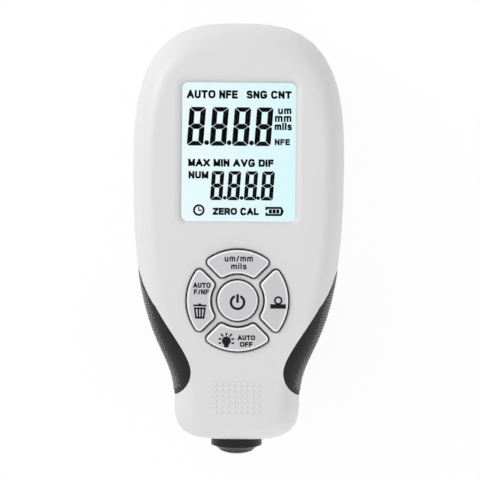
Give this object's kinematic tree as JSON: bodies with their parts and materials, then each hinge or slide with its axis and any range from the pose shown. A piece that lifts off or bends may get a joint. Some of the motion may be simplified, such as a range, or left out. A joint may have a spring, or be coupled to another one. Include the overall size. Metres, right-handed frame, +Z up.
{
  "type": "coating thickness gauge",
  "caption": "Pocket gauge with a rounded head, lit display, ring keypad round a power key, soft side grips and a sprung probe at the tail that reads coating thickness on metal.",
  "frame": {"origin": "middle of the footprint, on the plane of the flat back", "axes": "+X across the face, +Y along the gauge from the probe to the head, +Z up out of the face with the display"},
  "size_m": [0.0538, 0.11, 0.0279],
  "materials": {
    "shell_grey": "fine moulded grain",
    "key_grey": "satin",
    "grip_black": "soft touch, fine ridges at the sides",
    "clear_window": "polished clear acrylic",
    "display_glass": "lit liquid crystal glass",
    "white_plastic": "moulded",
    "black_plastic": "satin moulded",
    "dark_foam": "matte",
    "board_green": "lacquered laminate",
    "steel": "nickel plated",
    "cell_case": "plain sleeved can",
    "copper": "enamelled wire"
  },
  "bodies": {
    "housing": {"front_shell": "shell_grey", "rear_shell": "shell_grey", "left_grip": "grip_black", "right_grip": "grip_black", "display_window": "clear_window", "window_gasket": "dark_foam", "lcd_panel": "display_glass", "lcd_frame": "white_plastic", "light_panel": "white_plastic", "contact_strip": "dark_foam", "switch_bodies": "black_plastic", "circuit_board": "board_green", "main_chip": "black_plastic", "crystal": "steel", "buzzer": "black_plastic", "probe_connector": "white_plastic", "board_screws": "steel", "housing_screws": "steel", "left_cell": "cell_case", "right_cell": "cell_case", "bridge_contact": "steel", "positive_contact": "steel", "negative_contact": "steel", "probe_guide": "black_plastic", "probe_cap": "black_plastic", "probe_spring": "steel", "probe_lead": "dark_foam"},
    "power_button": {"power_key": "key_grey", "power_plunger": "white_plastic"},
    "units_button": {"units_key": "key_grey", "units_plunger": "white_plastic"},
    "mode_button": {"mode_key": "key_grey", "mode_plunger": "white_plastic"},
    "zero_button": {"zero_key": "key_grey", "zero_plunger": "white_plastic"},
    "light_button": {"light_key": "key_grey", "light_plunger": "white_plastic"},
    "battery_door": {"battery_cover": "shell_grey"},
    "probe": {"probe_sleeve": "black_plastic", "probe_bobbin": "white_plastic", "probe_coil": "copper", "probe_pole": "steel", "probe_plug": "black_plastic"}
  },
  "joints": [
    {"name": "power_press", "type": "slide", "parent": "housing", "child": "power_button", "axis": [0, 0, -1], "range_m": [0, 0.0005], "stiffness_N_per_m": 500, "springref_m": -0.0004},
    {"name": "units_press", "type": "slide", "parent": "housing", "child": "units_button", "axis": [0, 0, -1], "range_m": [0, 0.0005], "stiffness_N_per_m": 500, "springref_m": -0.0004},
    {"name": "mode_press", "type": "slide", "parent": "housing", "child": "mode_button", "axis": [0, 0, -1], "range_m": [0, 0.0005], "stiffness_N_per_m": 500, "springref_m": -0.0004},
    {"name": "zero_press", "type": "slide", "parent": "housing", "child": "zero_button", "axis": [0, 0, -1], "range_m": [0, 0.0005], "stiffness_N_per_m": 500, "springref_m": -0.0004},
    {"name": "light_press", "type": "slide", "parent": "housing", "child": "light_button", "axis": [0, 0, -1], "range_m": [0, 0.0005], "stiffness_N_per_m": 500, "springref_m": -0.0004},
    {"name": "cover_slide", "type": "slide", "parent": "housing", "child": "battery_door", "axis": [0, -1, 0], "range_m": [0, 0.09]},
    {"name": "probe_slide", "type": "slide", "parent": "housing", "child": "probe", "axis": [0, 1, 0], "range_m": [0, 0.0025], "stiffness_N_per_m": 400, "springref_m": -0.002, "deforming": ["probe_spring", "probe_lead"]}
  ]
}
